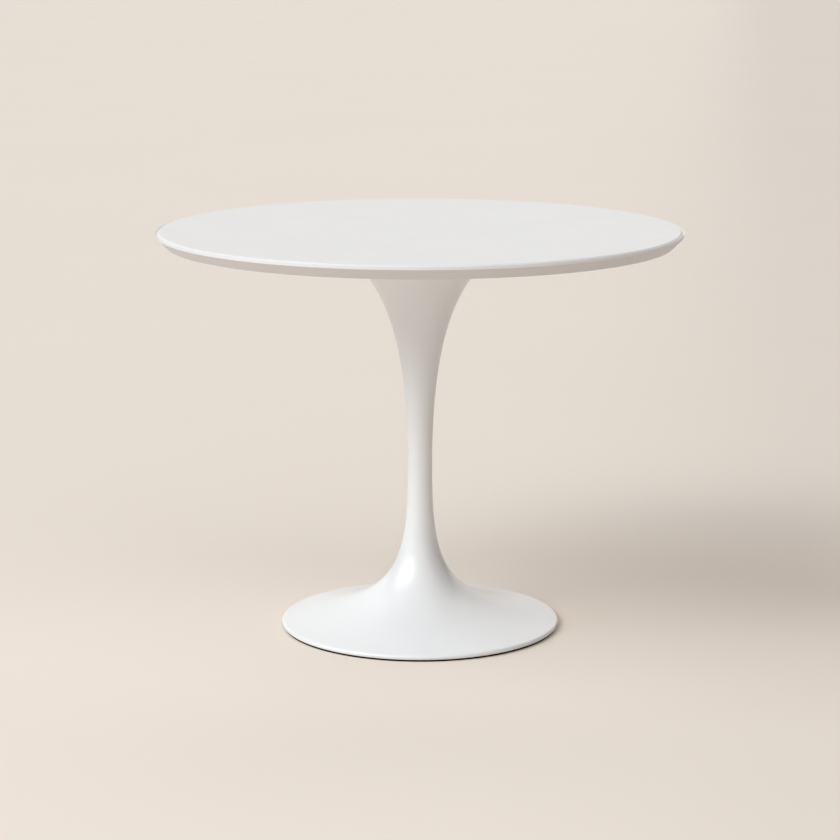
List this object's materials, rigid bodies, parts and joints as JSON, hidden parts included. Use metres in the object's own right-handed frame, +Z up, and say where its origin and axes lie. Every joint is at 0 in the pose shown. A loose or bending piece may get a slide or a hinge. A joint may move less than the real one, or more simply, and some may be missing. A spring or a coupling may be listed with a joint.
{
  "type": "round pedestal table",
  "caption": "Round dining table with a bevelled white top on a white trumpet-shaped pedestal with a flat round foot and a black floor ring.",
  "frame": {"origin": "on the floor at the middle of the foot, on the table's axis", "axes": "+Z up along the stem; the table is round, and +X runs through the first screw of each screw circle"},
  "size_m": [0.954, 0.954, 0.74],
  "materials": {
    "top_lacquer": "satin white lacquer on fibreboard",
    "pedestal_coat": "semi-gloss white powder coat on a metal casting",
    "ring_rubber": "matt black rubber",
    "ballast_steel": "black painted steel plate",
    "zinc_steel": "bright zinc-plated steel",
    "insert_brass": "turned brass"
  },
  "bodies": {
    "root": {"table_top": "top_lacquer", "pedestal": "pedestal_coat", "floor_ring": "ring_rubber", "ballast_ring": "ballast_steel", "mounting_plate": "zinc_steel", "rod_coupling": "zinc_steel", "tie_rod": "zinc_steel", "rod_washer": "zinc_steel", "rod_nut": "zinc_steel", "plate_screw_1": "zinc_steel", "plate_screw_2": "zinc_steel", "plate_screw_3": "zinc_steel", "plate_screw_4": "zinc_steel", "plate_screw_5": "zinc_steel", "plate_screw_6": "zinc_steel", "plate_screw_7": "zinc_steel", "plate_screw_8": "zinc_steel", "ballast_screw_1": "zinc_steel", "ballast_screw_2": "zinc_steel", "ballast_screw_3": "zinc_steel", "ballast_screw_4": "zinc_steel", "ballast_screw_5": "zinc_steel", "ballast_screw_6": "zinc_steel", "top_insert_1": "insert_brass", "top_insert_2": "insert_brass", "top_insert_3": "insert_brass", "top_insert_4": "insert_brass", "top_insert_5": "insert_brass", "top_insert_6": "insert_brass", "top_insert_7": "insert_brass", "top_insert_8": "insert_brass"}
  },
  "joints": []
}
